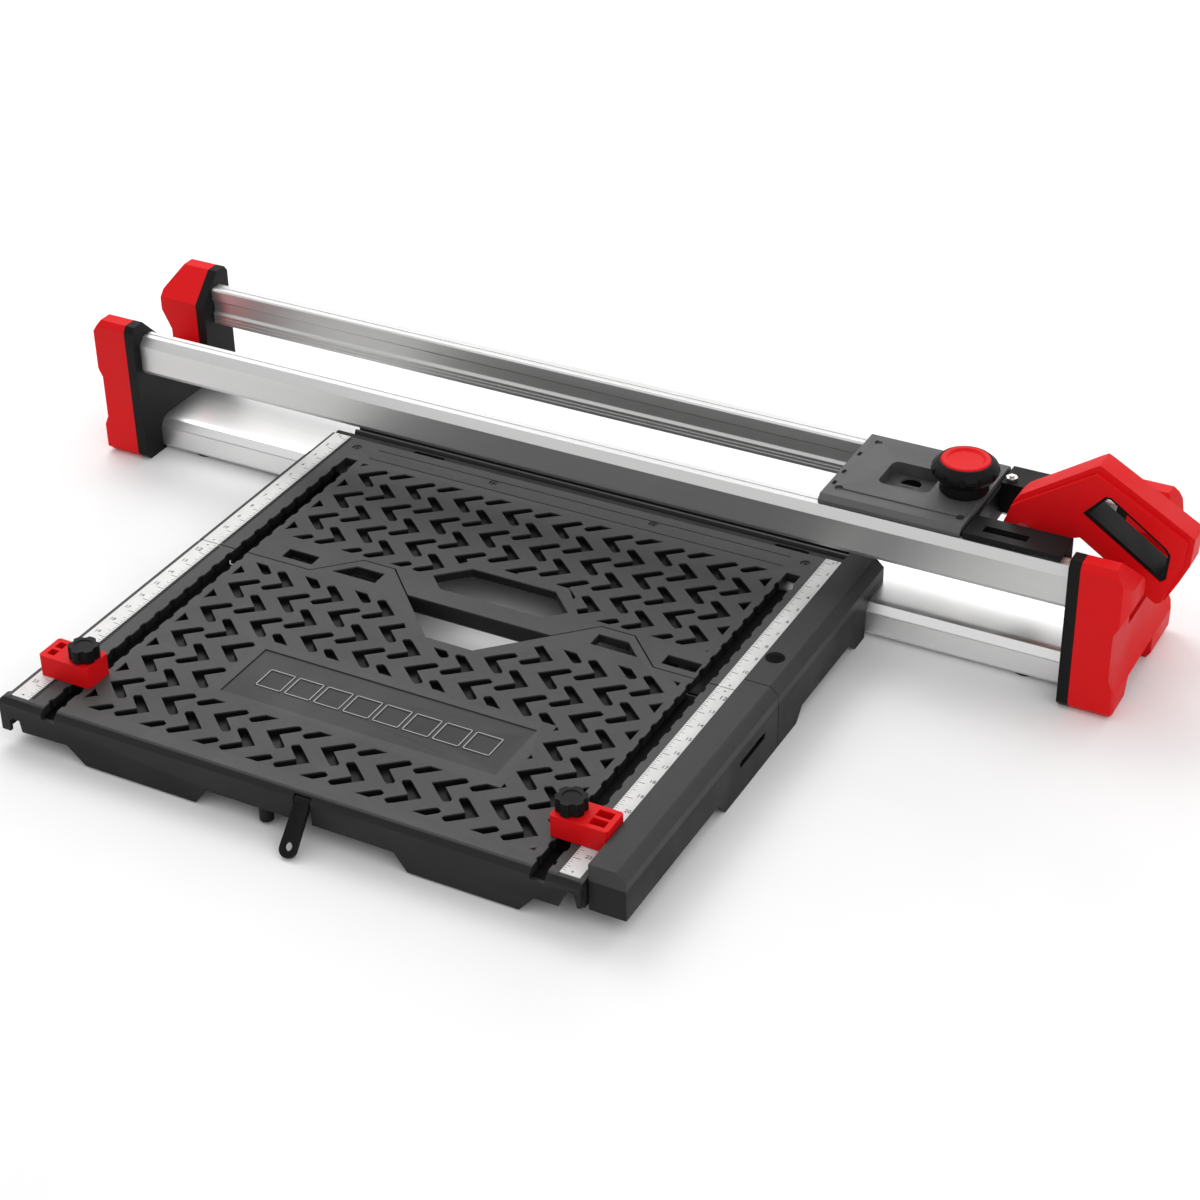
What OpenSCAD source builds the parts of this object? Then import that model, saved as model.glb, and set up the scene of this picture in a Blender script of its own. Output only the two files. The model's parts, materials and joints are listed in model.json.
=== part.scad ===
// Manual tile cutter: twin rails over a wide base, a pull-out gridded table and a scoring carriage.
// Millimetres, +X along the rails, +Y away from the user, +Z up, standing on z = 0.

/* [Rails] */
// Length of the rails between the two end brackets
rail_len = 1120; // [1080:4:1200]
// Height of the underside of the rails above the surface
rail_bottom = 111; // [108:1:116]
// Height of one rail
rail_h = 45; // [42:1:48]
// Depth of one rail
rail_w = 24; // [22:1:26]
// Clear gap between the two rails
rail_gap = 120; // [118:1:124]

/* [Base] */
// Depth of the base extrusion
base_d = 136; // [130:2:146]
// Height of the base extrusion, without its feet
base_h = 38; // [36:1:39]
// Height of the rubber feet under the base
foot_h = 4; // [3:1:5]

/* [Table] */
// Height of the table top above the surface
deck_top = 53; // [53:1:56]
// Thickness of the table's top plate
deck_t = 10; // [9:1:11]
// Length of the scale, from the cut line to the front edge
scale_len = 609.6; // [600:0.4:620]
// Distance from the cut line to the joint between the table halves
seam_y = 281.5; // [276:0.5:286]
// Pitch of the grip pattern across the table
chev_px = 62.1; // [60:0.1:64]
// Pitch of the grip pattern along the table
chev_py = 51; // [50:0.5:52]

/* [Fence] */
// Width of the square fence
fence_w = 38; // [34:1:42]
// Height of the fence above the table top
fence_rise = 17; // [14:1:20]

/* [Carriage] */
// Length of the carriage
car_len = 260; // [250:2:270]
// Gap from the parked carriage to the right bracket
car_park = 15; // [12:1:20]
// Radius of the scoring wheel
wheel_r = 11; // [9:0.5:12]
// Diameter of the pressure knob
knob_d = 70; // [64:1:74]
// Width of the handle
handle_w = 38; // [34:1:42]

/* [Hidden] */
$fn = 48;
eps = 0.5;

// Table layout, measured from the middle of the hand slot
deck_x0 = -344;
deck_x1 = 302;
scale_w = 21;
scale_t = 1;
scale_xl = -341;
scale_xr = 276;
slot_w = 16;
slot_xl = -291;
slot_xr = 258;
deck_front = -scale_len;
deck_rear = -17;
skirt_y = deck_front - 7.5;
field_x0 = -274;
field_x1 = 241;
pocket_d = 8;
rod_z0 = 33;
rod_r = 5;
rod_x0 = 196;
wall = 4;

// Joint between the table halves: a straight line with two tabs and a central notch at 45 degrees
tab_out = 204;
tab_in = 124;
tab_rise = 42;
notch_half = 27.5;
notch_drop = 54.5;
bar_front = -276;
seam_gap = 1.6;

// Frame
rail_x0 = -557;
rail_x1 = rail_x0 + rail_len;
rail_in = rail_gap / 2;
rail_out = rail_in + rail_w;
rail_top = rail_bottom + rail_h;
rail_bevel = 9;
base_y0 = -62;
base_y1 = base_y0 + base_d;
base_top = foot_h + base_h;
plate_t = 12;
cap_t = 51;
end_y = 95;
end_top = 173;
saddle_z = 84;
arch_z = 30;
cap_l = rail_x0 - plate_t - cap_t;

// Fence
fence_x0 = deck_x1 + 2;
fence_x1 = fence_x0 + fence_w;
fence_top = deck_top + fence_rise;
fence_low = 18;

// Carriage
car_x1 = rail_x1 - car_park;
car_x0 = car_x1 - car_len;
car_top = 165;
car_low = 122;
car_edge = 74;
knob_x = 418;
post_r = 9;
post_bore = post_r + 0.06;
spindle_r = 5;
wheel_z = 84;
wheel_t = 2.4;
axle_r = 2.5;
pivot_x = 490;
pivot_z = 148;
pivot_r = 5;
arm_in = 36;
stud_x = 453;
stud_y = 45;

// Handle outline in the x-z plane
apex = [561, 238];
grip_end = [663, 180];

// Stops and lever
stop_y = -550;
stop_d = 34;
stop_h = 24;
stop_w = 60;
stud_r = 4;
lever_x = 6;
lever_py = skirt_y + 4;
lever_pz = 44;
lever_l = 47;
lever_r = 9;
lever_t = 5;
lever_tilt = 41;

// The origin is below the middle of the whole object
mid_x = (cap_l + grip_end[0]) / 2;
lever_tip = lever_py - (lever_l + lever_r) * sin(lever_tilt) - lever_t / 2 * cos(lever_tilt);
mid_y = (lever_tip + end_y) / 2;

module in_frame() { translate([-mid_x, -mid_y, 0]) children(); }
module block(lo, hi) { translate(lo) cube(hi - lo); }
module along_x(x0, x1) { translate([x0, 0, 0]) rotate([90, 0, 90]) linear_extrude(x1 - x0) children(); }
module along_y(y0, y1) { translate([0, y1, 0]) rotate([90, 0, 0]) linear_extrude(y1 - y0) children(); }
module along_z(z0, z1) { translate([0, 0, z0]) linear_extrude(z1 - z0) children(); }
module rod_x(x0, x1, y, z, r) { translate([x0, y, z]) rotate([0, 90, 0]) cylinder(h = x1 - x0, r = r); }
module rod_y(y0, y1, x, z, r) { translate([x, y1, z]) rotate([90, 0, 0]) cylinder(h = y1 - y0, r = r); }
module rod_z(z0, z1, x, y, r) { translate([x, y, z0]) cylinder(h = z1 - z0, r = r); }
module rounded(x0, y0, x1, y1, r) {
    for (x = [x0 + r, x1 - r], y = [y0 + r, y1 - r]) translate([x, y]) circle(r);
    translate([x0 + r, y0]) square([x1 - x0 - 2 * r, y1 - y0]);
    translate([x0, y0 + r]) square([x1 - x0, y1 - y0 - 2 * r]);
}

// ---------- base and rails ----------

// Section of the base: a hollow box with a bevelled front shoulder and two webs
module base_section() {
    difference() {
        polygon([[base_y0 + 3, foot_h], [base_y0, foot_h + 4], [base_y0, foot_h + 28],
            [base_y0 + 7, base_top - 2],
            [base_y0 + 14, base_top], [base_y1 - 8, base_top], [base_y1, base_top - 8], [base_y1, foot_h + 4],
            [base_y1 - 3, foot_h]]);
        for (y = [base_y0 + 14, base_y0 + 54, base_y0 + 94])
            translate([y, foot_h + 3]) square([32, base_h - 7]);
        translate([base_y0 - eps, foot_h + 27]) square([1.5 + eps, 1.5]);
    }
}

module base_extrusion() {
    color("silver") difference() {
        along_x(rail_x0, rail_x1) base_section();
        for (x = [rail_x0, rail_x1], y = [base_y0 + 8, base_y0 + 50, base_y0 + 90])
            rod_x(x - 30, x + 30, y, foot_h + 20, 3);
        for (x = [-300, -120, 80, 260]) rod_z(base_top - 12, base_top + eps, x, -35, 2.6);
    }
}

// Section of one rail, outer face towards -y; the inner face has a running groove and two fine ribs
module rail_section() {
    difference() {
        polygon([[0, 5], [3, 0], [rail_w, 0], [rail_w, rail_h - 2], [rail_w - 2, rail_h], [8, rail_h],
            [0, rail_h - rail_bevel]]);
        translate([3, 15]) square([rail_w - 9, rail_h - 27]);
        translate([rail_w - 3, 12]) polygon([[0, 3], [3 + eps, 0], [3 + eps, 19], [0, 16]]);
        for (z = [4, 8]) translate([rail_w - 1, z]) square([1 + eps, 1.6]);
        translate([15, rail_h - 1.2]) square([1.6, 1.2 + eps]);
    }
}

module rail() {
    difference() {
        along_x(rail_x0, rail_x1) translate([-rail_out, rail_bottom]) rail_section();
        for (x = [rail_x0, rail_x1]) rod_x(x - 30, x + 30, -rail_out + 10, rail_bottom + 7.5, 3);
    }
}

module front_rail() { color("silver") rail(); }
module rear_rail() { color("silver") mirror([0, 1, 0]) rail(); }

// ---------- ends ----------

// Outline of an end in the y-z plane: two lobes round the rails, a saddle between them, an arch below
module end_outline(arch) {
    polygon([[-end_y, 8], [-end_y + 8, 0], [-57, 0], [-51, arch], [26, arch], [32, 0], [end_y - 8, 0],
        [end_y, 8], [end_y, 166], [90, end_top], [74, end_top], [42, 140], [42, saddle_z],
        [-42, saddle_z], [-42, 140], [-74, end_top], [-90, end_top], [-end_y, 166]]);
}

module bolt_places() {
    for (y = [-rail_out + 10, rail_out - 10]) translate([0, y, rail_bottom + 7.5]) children();
    for (y = [base_y0 + 8, base_y0 + 50, base_y0 + 90]) translate([0, y, foot_h + 20]) children();
}

// Black bracket: a plate with two register blocks, screwed to the ends of the rails and base
module bracket(x_in, dir) {
    x_out = x_in + dir * plate_t;
    difference() {
        union() {
            along_x(min(x_in, x_out), max(x_in, x_out)) end_outline(8);
            for (y = [-88, 50]) block([min(x_out - 1, x_out + dir * 10), y, 124],
                [max(x_out + 1, x_out + dir * 10), y + 38, 146]);
        }
        bolt_places() rod_x(x_in - 40, x_in + 40, 0, 0, 3.4);
        bolt_places() rod_x(min(x_out - dir * 6, x_out + dir * 40), max(x_out - dir * 6, x_out + dir * 40),
            0, 0, 7);
    }
}

module left_bracket() { color([0.07, 0.07, 0.08]) bracket(rail_x0, -1); }
module right_bracket() { color([0.07, 0.07, 0.08]) bracket(rail_x1, 1); }

// Outline of a cap seen from the front: full lobe with a cut corner, narrow waist and a foot
module cap_front_outline(x_in, dir) {
    polygon([[x_in, 0], [x_in + dir * (cap_t - 10), 0], [x_in + dir * (cap_t - 5), 8],
        [x_in + dir * (cap_t - 4), 30], [x_in + dir * (cap_t - 12), 48], [x_in + dir * (cap_t - 12), 100],
        [x_in + dir * cap_t, 124], [x_in + dir * cap_t, 148], [x_in + dir * (cap_t - 16), end_top],
        [x_in, end_top]]);
}

// Outline of a cap seen from above: the outer corners are cut off at a slant
module cap_plan(x_in, dir) {
    polygon([[x_in, -end_y], [x_in + dir * (cap_t - 7), -end_y], [x_in + dir * cap_t, -end_y + 16],
        [x_in + dir * cap_t, end_y - 16], [x_in + dir * (cap_t - 7), end_y], [x_in, end_y]]);
}

module cap_body(x_in, dir) {
    intersection() {
        along_x(min(x_in, x_in + dir * cap_t), max(x_in, x_in + dir * cap_t)) end_outline(arch_z);
        along_y(-end_y, end_y) cap_front_outline(x_in, dir);
        along_z(0, end_top) cap_plan(x_in, dir);
    }
}

// Red cap: a hollow shell over the bolt heads, open towards the bracket
module end_cap(x_in, dir) {
    difference() {
        cap_body(x_in, dir);
        for (y = [-end_y + 5, 49])
            block([min(x_in - 1, x_in + dir * (cap_t - 18)), y, 46],
                [max(x_in + 1, x_in + dir * (cap_t - 18)), y + 41, 104]);
        for (y = [-88, 50]) block([min(x_in - 1, x_in + dir * 10.3), y - 0.3, 123.7],
            [max(x_in + 1, x_in + dir * 10.3), y + 38.3, 146.3]);
        bolt_places() rod_x(min(x_in - dir, x_in + dir * 8), max(x_in - dir, x_in + dir * 8), 0, 0, 8);
    }
}

module left_end_cap() { color("crimson") end_cap(rail_x0 - plate_t, -1); }
module right_end_cap() { color("crimson") end_cap(rail_x1 + plate_t, 1); }

// Cap screws through the brackets into the rails and base
module bracket_bolts() {
    color("dimgray") for (s = [-1, 1]) {
        x_seat = (s < 0 ? rail_x0 : rail_x1) + s * (plate_t - 6);
        bolt_places() {
            rod_x(min(x_seat, x_seat - s * 32), max(x_seat, x_seat - s * 32), 0, 0, 2.95);
            difference() {
                rod_x(min(x_seat, x_seat + s * 6), max(x_seat, x_seat + s * 6), 0, 0, 6);
                rod_x(min(x_seat + s * 3, x_seat + s * 7), max(x_seat + s * 3, x_seat + s * 7), 0, 0, 2.6);
            }
        }
    }
}

module base_feet() {
    color([0.1, 0.1, 0.1]) for (x = [rail_x0 + 50, rail_x1 - 50, -300, 260], y = [base_y0 + 18, base_y1 - 18])
        difference() {
            union() {
                rod_z(0, foot_h, x, y, 13);
                rod_z(foot_h - 3, foot_h, x, y, 9);
            }
            rod_z(-eps, 2.5, x, y, 5);
        }
}

// Steel rib on the cut line that the tile snaps over
module anvil_strip() {
    color("gainsboro") along_x(deck_x0 + 20, fence_x0 - 8) polygon([[-5, base_top], [5, base_top],
        [5, base_top + 2], [1.5, deck_top], [-1.5, deck_top], [-5, base_top + 2]]);
}

// Rubber pad behind the rib that carries the far side of the tile
module rear_pad() {
    color([0.13, 0.13, 0.13]) difference() {
        block([deck_x0 + 20, 8, base_top], [fence_x0 - 8, base_y1 - 10, deck_top - 0.5]);
        for (y = [16:8:64]) block([deck_x0, y, deck_top - 1.5], [fence_x1, y + 2.5, deck_top]);
    }
}

// ---------- table ----------

// One grip hole: a blunt V with its tip at the origin, opening towards +x
module chevron() {
    polygon([[0, 0], [21.5, 18.5], [25.5, 20.5], [31, 17], [30.5, 13.5], [15.5, 0], [30.5, -13.5],
        [31, -17], [25.5, -20.5], [21.5, -18.5]]);
}

// Rows of grip holes pointing left and right by turns, trimmed to a rectangle
module chevron_field(x0, y0, x1, y1) {
    rows = [ceil((-341 - 24 - y1) / chev_py):floor((-315.5 + 24 - y0) / chev_py)];
    intersection() {
        translate([x0, y0]) square([x1 - x0, y1 - y0]);
        for (r = rows, c = [-1:8]) {
            translate([-267.5 + c * chev_px, -341 - r * chev_py]) chevron();
            translate([-200.7 + c * chev_px, -315.5 - r * chev_py]) mirror([1, 0]) chevron();
        }
    }
}

// Line of the joint from left to right; grow moves it towards the front half
module front_region(grow) {
    g = grow;
    polygon([[deck_x0 - 5, skirt_y - 5], [deck_x1 + 5, skirt_y - 5], [deck_x1 + 5, -seam_y + g],
        [tab_out + g * 0.4, -seam_y + g], [tab_out - tab_rise + g * 0.4, -seam_y + tab_rise + g],
        [tab_in - g * 0.4, -seam_y + tab_rise + g], [notch_half - g * 0.4, -seam_y - notch_drop + g],
        [-notch_half + g * 0.4, -seam_y - notch_drop + g], [-tab_in + g * 0.4, -seam_y + tab_rise + g],
        [-tab_out + tab_rise - g * 0.4, -seam_y + tab_rise + g], [-tab_out - g * 0.4, -seam_y + g],
        [deck_x0 - 5, -seam_y + g]]);
}

module tab_windows() {
    for (m = [0, 1]) mirror([m, 0])
        polygon([[182, -272], [162, -252], [128, -252], [128, -272]]);
}

// Toothed slot that a stop slides along
module rack_slot(x, y0, y1) {
    translate([x - slot_w / 2, y0]) square([slot_w, y1 - y0]);
    for (y = [y0 + 12:chev_py / 2:y1 - 16])
        translate([x, y]) polygon([[-slot_w / 2 - 2, 3], [-slot_w / 2, 0], [slot_w / 2, 0],
            [slot_w / 2 + 2, 3],
            [slot_w / 2 + 2, 9], [slot_w / 2, 12], [-slot_w / 2, 12], [-slot_w / 2 - 2, 9]]);
}

// Closed channels under the two slots, where the clamps of the stops run
module slot_channels(y0, y1) {
    for (m = [[slot_xl, -1], [slot_xr, 1]]) {
        x_wall = m[0] + m[1] * 18;
        block([m[0] - 17, y0, 30.5], [m[0] + 17, y1, 33]);
        block([min(x_wall, x_wall - m[1] * 2.5), y0, 30.5],
            [max(x_wall, x_wall - m[1] * 2.5), y1, deck_top - deck_t]);
    }
}

module hand_slot() {
    polygon([[-81, -231.5], [-50, -201.5], [50, -201.5], [81, -231.5], [61, -251], [-61, -251]]);
}

// Front half: gridded plate, deep front skirt with two feet, and a rail for the left scale
module front_plan() {
    difference() {
        intersection() {
            translate([deck_x0, deck_front]) square([deck_x1 - deck_x0, scale_len - 150]);
            front_region(0);
        }
        rack_slot(slot_xl, skirt_y - 1, -seam_y + 1);
        rack_slot(slot_xr, skirt_y - 1, -seam_y + 1);
        tab_windows();
    }
}

// Grip pockets of the front half, kept clear of the relief plate and the notch
module front_pockets() {
    along_z(deck_top - pocket_d, deck_top + 1) difference() {
        union() {
            chevron_field(field_x0, -591, -174.5, -293);
            chevron_field(167, -591, field_x1, -293);
            chevron_field(-174.5, -591, 167, -523);
            chevron_field(-174.5, -412.5, 167, -293);
        }
        polygon([[-notch_half - 10, -seam_y - notch_drop - 12], [notch_half + 10, -seam_y - notch_drop - 12],
            [130, -seam_y + 32], [-130, -seam_y + 32]]);
    }
}

// Front skirt seen from the front
module skirt_outline() {
    polygon([[deck_x0 - 7, 50], [deck_x0 - 7, 15], [-341, 15], [-340, 28], [-337, 31],
        [-328, 31], [-326, 18], [-271, 20], [-250, 2], [-119, 2], [-105, 21], [105, 21], [119, 2],
        [238, 2], [254, 21], [279, 21], [287, 41], [295, 42], [298, 26], [deck_x1, 26], [deck_x1, deck_top],
        [deck_x0, deck_top]]);
}

module front_skirt() {
    difference() {
        intersection() {
            along_y(skirt_y, deck_front + 8) skirt_outline();
            along_x(deck_x0 - 7, deck_x1) polygon([[skirt_y, 0], [skirt_y, deck_top - 6],
                [deck_front, deck_top], [deck_front + 8, deck_top], [deck_front + 8, deck_top - deck_t],
                [skirt_y + wall, deck_top - deck_t], [skirt_y + wall, 0]]);
        }
        for (x = [slot_xl, slot_xr])
            block([x - slot_w / 2, skirt_y - 1, 42], [x + slot_w / 2, deck_front + 9, deck_top + 1]);
        block([lever_x - 9.5, skirt_y - 1, 0], [lever_x + 9.5, skirt_y + 12, deck_top - 3]);
    }
}

module front_deck() {
    color([0.16, 0.16, 0.17]) difference() {
        union() {
            along_z(deck_top - deck_t, deck_top) front_plan();
            front_skirt();
            // left edge rail, inner ribs and the cheeks of the lever
            block([deck_x0 - 3, deck_front, 18], [deck_x0 + 1, -seam_y - 1, deck_top - 2]);
            for (x = [field_x0 - 2, field_x1 - 2])
                block([x, skirt_y + 2, 26], [x + 4, -seam_y - 14, deck_top - deck_t]);
            for (x = [-178, 170]) block([x, skirt_y + 2, 30], [x + 4, -seam_y - 14, deck_top - deck_t]);
            for (y = [-520, -419]) block([field_x0, y, 30], [field_x1, y + 4, deck_top - deck_t]);
            slot_channels(deck_front + 6, -seam_y - 2);
            for (x = [lever_x - 14, lever_x + 9.5])
                block([x, skirt_y + 1, 24], [x + 4.5, skirt_y + 14, deck_top - deck_t + 1]);
            // bosses that hold the guide rods and the peg under the skirt
            for (x = [-rod_x0, rod_x0], y = [-586, -430, -306])
                block([x - 9, y, rod_z0 - 9], [x + 9, y + 16, deck_top - deck_t]);
            rod_z(4, 30, -42, skirt_y + 8, 7);
            block([-49, skirt_y + 1, 20], [-35, skirt_y + 15, deck_top - deck_t]);
            // spine under the right scale that carries the fence
            block([deck_x1 - 4, deck_front, 22], [deck_x1, -seam_y - 1, deck_top - 1]);
        }
        for (x = [scale_xl, scale_xr])
            block([x, deck_front - 8, deck_top - scale_t], [x + scale_w, -seam_y + 1, deck_top + 1]);
        block([-161, -508, deck_top - 2.4], [153, -427, deck_top + 1]);
        front_pockets();
        block([lever_x - 9.5, skirt_y - 1, 0], [lever_x + 9.5, skirt_y + 12, deck_top - 3]);
        for (x = [-rod_x0, rod_x0]) rod_y(-582, -280, x, rod_z0, rod_r + 0.02);
        rod_x(lever_x - 13, lever_x + 13, lever_py, lever_pz, 2.02);
    }
}

module rear_plan() {
    difference() {
        translate([deck_x0, -seam_y]) square([deck_x1 - deck_x0, seam_y + deck_rear]);
        front_region(seam_gap);
        translate([-100, -seam_y - 60]) square([200, seam_y + 60 + bar_front]);
        rack_slot(slot_xl, -seam_y - 1, -60);
        rack_slot(slot_xr, -seam_y - 1, -60);
        hand_slot();
        for (m = [0, 1]) mirror([m, 0]) translate([208, -271]) square([38, 17]);
    }
}

// Grip pockets of the rear half, kept clear of the hand slot
module rear_pockets() {
    along_z(deck_top - pocket_d, deck_top + 1) difference() {
        chevron_field(field_x0, -232, field_x1, -63);
        polygon([[-95, -234], [-60, -190], [60, -190], [95, -234]]);
    }
}

// Rear half: fixed over the front of the base, with the hand slot and its bar
module rear_deck() {
    color([0.16, 0.16, 0.17]) difference() {
        union() {
            along_z(deck_top - deck_t, deck_top) difference() {
                rear_plan();
                translate([deck_x0 - 1, base_y0 - 1]) square([deck_x1 - deck_x0 + 2, 100]);
            }
            along_z(base_top + 0.2, deck_top) intersection() {
                rear_plan();
                translate([deck_x0, base_y0 - 1.5]) square([deck_x1 - deck_x0, 60]);
            }
            block([deck_x0, deck_rear - 1, base_top + 0.2], [deck_x1, -6, deck_top - 2.5]);
            block([deck_x0 - 3, -seam_y + 1, 18], [deck_x0 + 1, base_y0 - 1, deck_top - 2]);
            for (x = [field_x0 - 2, field_x1 - 2, -140, 136])
                block([x, -226, 26], [x + 4, base_y0 - 1, deck_top - deck_t]);
            block([field_x0, base_y0 - 6, 14], [field_x1, base_y0 - 1.5, deck_top - deck_t]);
            block([deck_x1 - 4, -seam_y + 1, 22], [deck_x1, base_y0 - 1, deck_top - 1]);
            slot_channels(-seam_y + 3, base_y0 - 3);
            // bar in front of the hand slot and its ends
            along_x(-84, 84) polygon([[bar_front, 34], [bar_front + 4, 30], [-255, 30], [-251, 34],
                [-251, deck_top - 3], [-254, deck_top], [bar_front + 3, deck_top],
                [bar_front, deck_top - 3]]);
            // sleeves that the guide rods slide in
            for (x = [-rod_x0, rod_x0], y = [-248, -190])
                block([x - 10, y, rod_z0 - 10], [x + 10, y + 26, deck_top - deck_t]);
        }
        for (x = [scale_xl, scale_xr])
            block([x, -seam_y - 1, deck_top - scale_t], [x + scale_w, deck_rear + 1, deck_top + 1]);
        for (x = [-218, 234]) along_z(base_top - 1, deck_top) rounded(x - 20, deck_rear + 1, x + 20, -8.5, 3);
        rear_pockets();
        for (y = [-51, -31]) block([field_x0, y, deck_top - 0.8], [field_x1, y + 1.4, deck_top + 1]);
        for (x = [-rod_x0, rod_x0]) rod_y(-seam_y, base_y0 - 1, x, rod_z0, rod_r + 0.06);
        for (x = [-300, -120, 80, 260]) {
            rod_z(base_top - 1, deck_top + 1, x, -35, 3);
            rod_z(deck_top - 4, deck_top + 1, x, -35, 5.5);
        }
    }
}

// Soft sleeve on the back of the grab bar
module grab_bar_grip() {
    color([0.25, 0.25, 0.26]) along_x(-56, 56) polygon([[-250.9, 35], [-248.6, 37], [-248.6, deck_top - 4],
        [-250.1, deck_top - 1.5], [-250.9, deck_top - 1.5]]);
}

// Scale strips: thin metal rules with one hole pressed at each end
module scale_strip(x, y0, y1) {
    color("whitesmoke") difference() {
        block([x + 0.1, y0, deck_top - scale_t], [x + scale_w - 0.1, y1, deck_top + 0.2]);
        for (y = [y0 + 5, y1 - 5]) rod_z(deck_top - 2, deck_top + 1, x + scale_w / 2, y, 1.2);
    }
}

module front_left_scale() { scale_strip(scale_xl, deck_front + 2, -seam_y - 0.4); }
module front_right_scale() { scale_strip(scale_xr, deck_front + 2, -seam_y - 0.4); }
module rear_left_scale() { scale_strip(scale_xl, -seam_y + 0.9, deck_rear); }
module rear_right_scale() { scale_strip(scale_xr, -seam_y + 0.9, deck_rear); }

module rear_deck_screws() {
    color("dimgray") for (x = [-300, -120, 80, 260]) difference() {
        union() {
            rod_z(base_top - 10, deck_top - 4, x, -35, 2.5);
            rod_z(deck_top - 4, deck_top - 1, x, -35, 5);
        }
        for (a = [0, 90]) translate([x, -35, deck_top - 2]) rotate(a)
            translate([-3, -0.6, 0]) cube([6, 1.2, 2]);
    }
}

// Steel rods fixed in the front half that slide in the rear half when the table is pulled out
module guide_rods() {
    color("silver") for (x = [-rod_x0, rod_x0]) {
        rod_y(-580, -96, x, rod_z0, rod_r);
        rod_y(-96, -93, x, rod_z0, rod_r - 1);
    }
}

// Relief plate in the recess: a plain row of tile outlines
module name_panel() {
    color([0.2, 0.2, 0.21]) union() {
        block([-160.7, -507.7, deck_top - 2.4], [152.7, -427.3, deck_top - 1.4]);
        for (i = [0:7]) translate([-136 + i * 34, -484, deck_top - 1.4]) difference() {
            cube([30, 30, 0.8]);
            translate([2, 2, -1]) cube([26, 26, 3]);
        }
    }
}

module front_feet() {
    color([0.1, 0.1, 0.1]) for (x = [-184, 178]) difference() {
        block([x - 50, skirt_y + wall, 0], [x + 50, skirt_y + wall + 16, 8]);
        block([x - 44, skirt_y + wall + 5, -1], [x + 44, skirt_y + wall + 11, 3]);
    }
}

// ---------- fence ----------

// Section of the fence: flat top with a cut outer corner, hollow inside
module fence_section(inset) {
    polygon([[fence_x0 + inset, -1], [fence_x0 + inset, fence_top - inset * 1.4],
        [fence_x1 - 10, fence_top - inset * 1.4], [fence_x1 - 7, fence_top - 2 - inset],
        [fence_x1 - inset, fence_top - 9 - inset], [fence_x1 - inset, -1]]);
}

module fence_piece(y0, y1) {
    difference() {
        intersection() {
            along_y(y0, y1) fence_section(0);
            along_x(fence_x0 - 1, fence_x1 + 1) children();
        }
        along_y(y0 + 4, y1 - 4) fence_section(3);
    }
}

module front_fence() {
    y0 = deck_front + 4;
    y1 = -seam_y - 0.4;
    color([0.17, 0.17, 0.18]) difference() {
        union() {
            fence_piece(y0, y1) polygon([[y0, fence_low], [-416, fence_low], [-400, 0], [y1, 0],
                [y1, fence_top], [y0, fence_top]]);
            block([deck_x1 + 0.1, y0 + 6, 30], [fence_x0 + 1, y1 - 6, deck_top - 4]);
        }
        along_x(fence_x1 - 5, fence_x1 + 1) rounded(-369, 31, -312, 38, 3);
    }
}

module rear_fence() {
    y0 = -seam_y + 0.4;
    y1 = deck_rear;
    color([0.17, 0.17, 0.18]) difference() {
        union() {
            fence_piece(y0, y1) polygon([[y0, 0], [-237, 0], [-223, 14], [-103, 14], [-88, 0],
                [base_y0 - 1.5, 0], [base_y0 - 1.5, base_top + 0.3], [y1, base_top + 0.3], [y1, fence_top],
                [y0, fence_top]]);
            block([deck_x1 + 0.1, y0 + 6, 30], [fence_x0 + 1, base_y0 - 6, deck_top - 4]);
        }
        rod_z(fence_top - 10, fence_top + 1, fence_x0 + 12, -234, 10);
    }
}

// ---------- lever and stops ----------

module lever_pin() {
    color("silver") rod_x(lever_x - 12.5, lever_x + 12.5, lever_py, lever_pz, 2);
}

// Swinging latch strap on the front skirt, round tip with a hole
module support_lever() {
    color([0.08, 0.08, 0.09]) translate([lever_x, lever_py, lever_pz])
        rotate([-lever_tilt, 0, 0]) difference() {
        union() {
            rod_x(-8, 8, 0, 0, 4.5);
            along_y(-lever_t / 2, lever_t / 2) {
                polygon([[-8, 0], [8, 0], [lever_r, -lever_l], [-lever_r, -lever_l]]);
                translate([0, -lever_l]) circle(lever_r);
            }
        }
        rod_x(-9, 9, 0, 0, 2.06);
        rod_y(-lever_t, lever_t, 0, 2 - lever_l, 4.4);
    }
}

// Stop block over the slot and the scale; open = 1 has two open pockets on the scale side
module stop_block(x0, x_slot, open) {
    z0 = deck_top + 0.6;
    side = open > 0 ? 1 : -1;
    x_far = side > 0 ? x0 + stop_w : x0;
    difference() {
        along_z(z0, z0 + stop_h) polygon([[x0 + 2, stop_y - stop_d / 2],
            [x0 + stop_w - 2, stop_y - stop_d / 2],
            [x0 + stop_w, stop_y - stop_d / 2 + 2], [x0 + stop_w, stop_y + stop_d / 2 - 2],
            [x0 + stop_w - 2, stop_y + stop_d / 2], [x0 + 2, stop_y + stop_d / 2],
            [x0, stop_y + stop_d / 2 - 2], [x0, stop_y - stop_d / 2 + 2]]);
        rod_z(z0 - 1, z0 + stop_h + 1, x_slot, stop_y, stud_r + 0.3);
        rod_z(z0 + stop_h - 3, z0 + stop_h + 1, x_slot, stop_y, 11);
        for (y = [-1, 1]) translate([x_far - side * 14, stop_y + y * 6.5, z0 + (open > 0 ? 3 : 12)])
            translate([-8, -4.7, 0]) cube([open > 0 ? 16 : 9, 9.4, stop_h]);
    }
}

module left_stop_block() { color("red") stop_block(-336, slot_xl, 0); }
module right_stop_block() { color("red") stop_block(243, slot_xr, 1); }

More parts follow.
